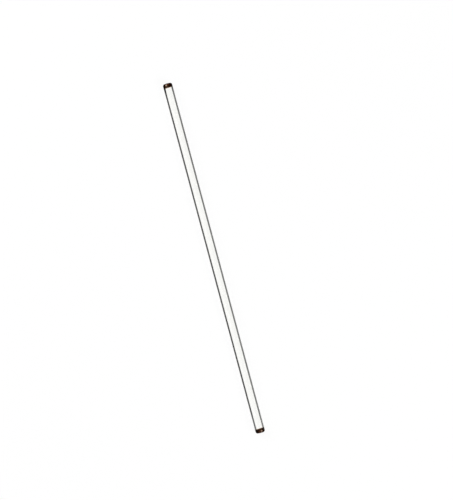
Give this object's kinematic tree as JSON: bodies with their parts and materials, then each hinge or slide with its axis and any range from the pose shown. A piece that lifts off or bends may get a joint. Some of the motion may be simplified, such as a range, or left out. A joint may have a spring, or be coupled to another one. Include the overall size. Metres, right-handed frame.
{
  "type": "glass stirring rod",
  "caption": "Straight solid glass rod for stirring liquids in a beaker, clear along its length, with flame-polished dark brown ends.",
  "frame": {"origin": "middle of the rod, on its axis", "axes": "+X along the rod, towards one of its two equal ends; the rod is round about X, so Y and Z are any pair across it"},
  "size_m": [0.2, 0.0052, 0.0052],
  "materials": {
    "clear_glass": "polished"
  },
  "bodies": {
    "root": {"stirring_rod": "clear_glass"}
  },
  "joints": []
}
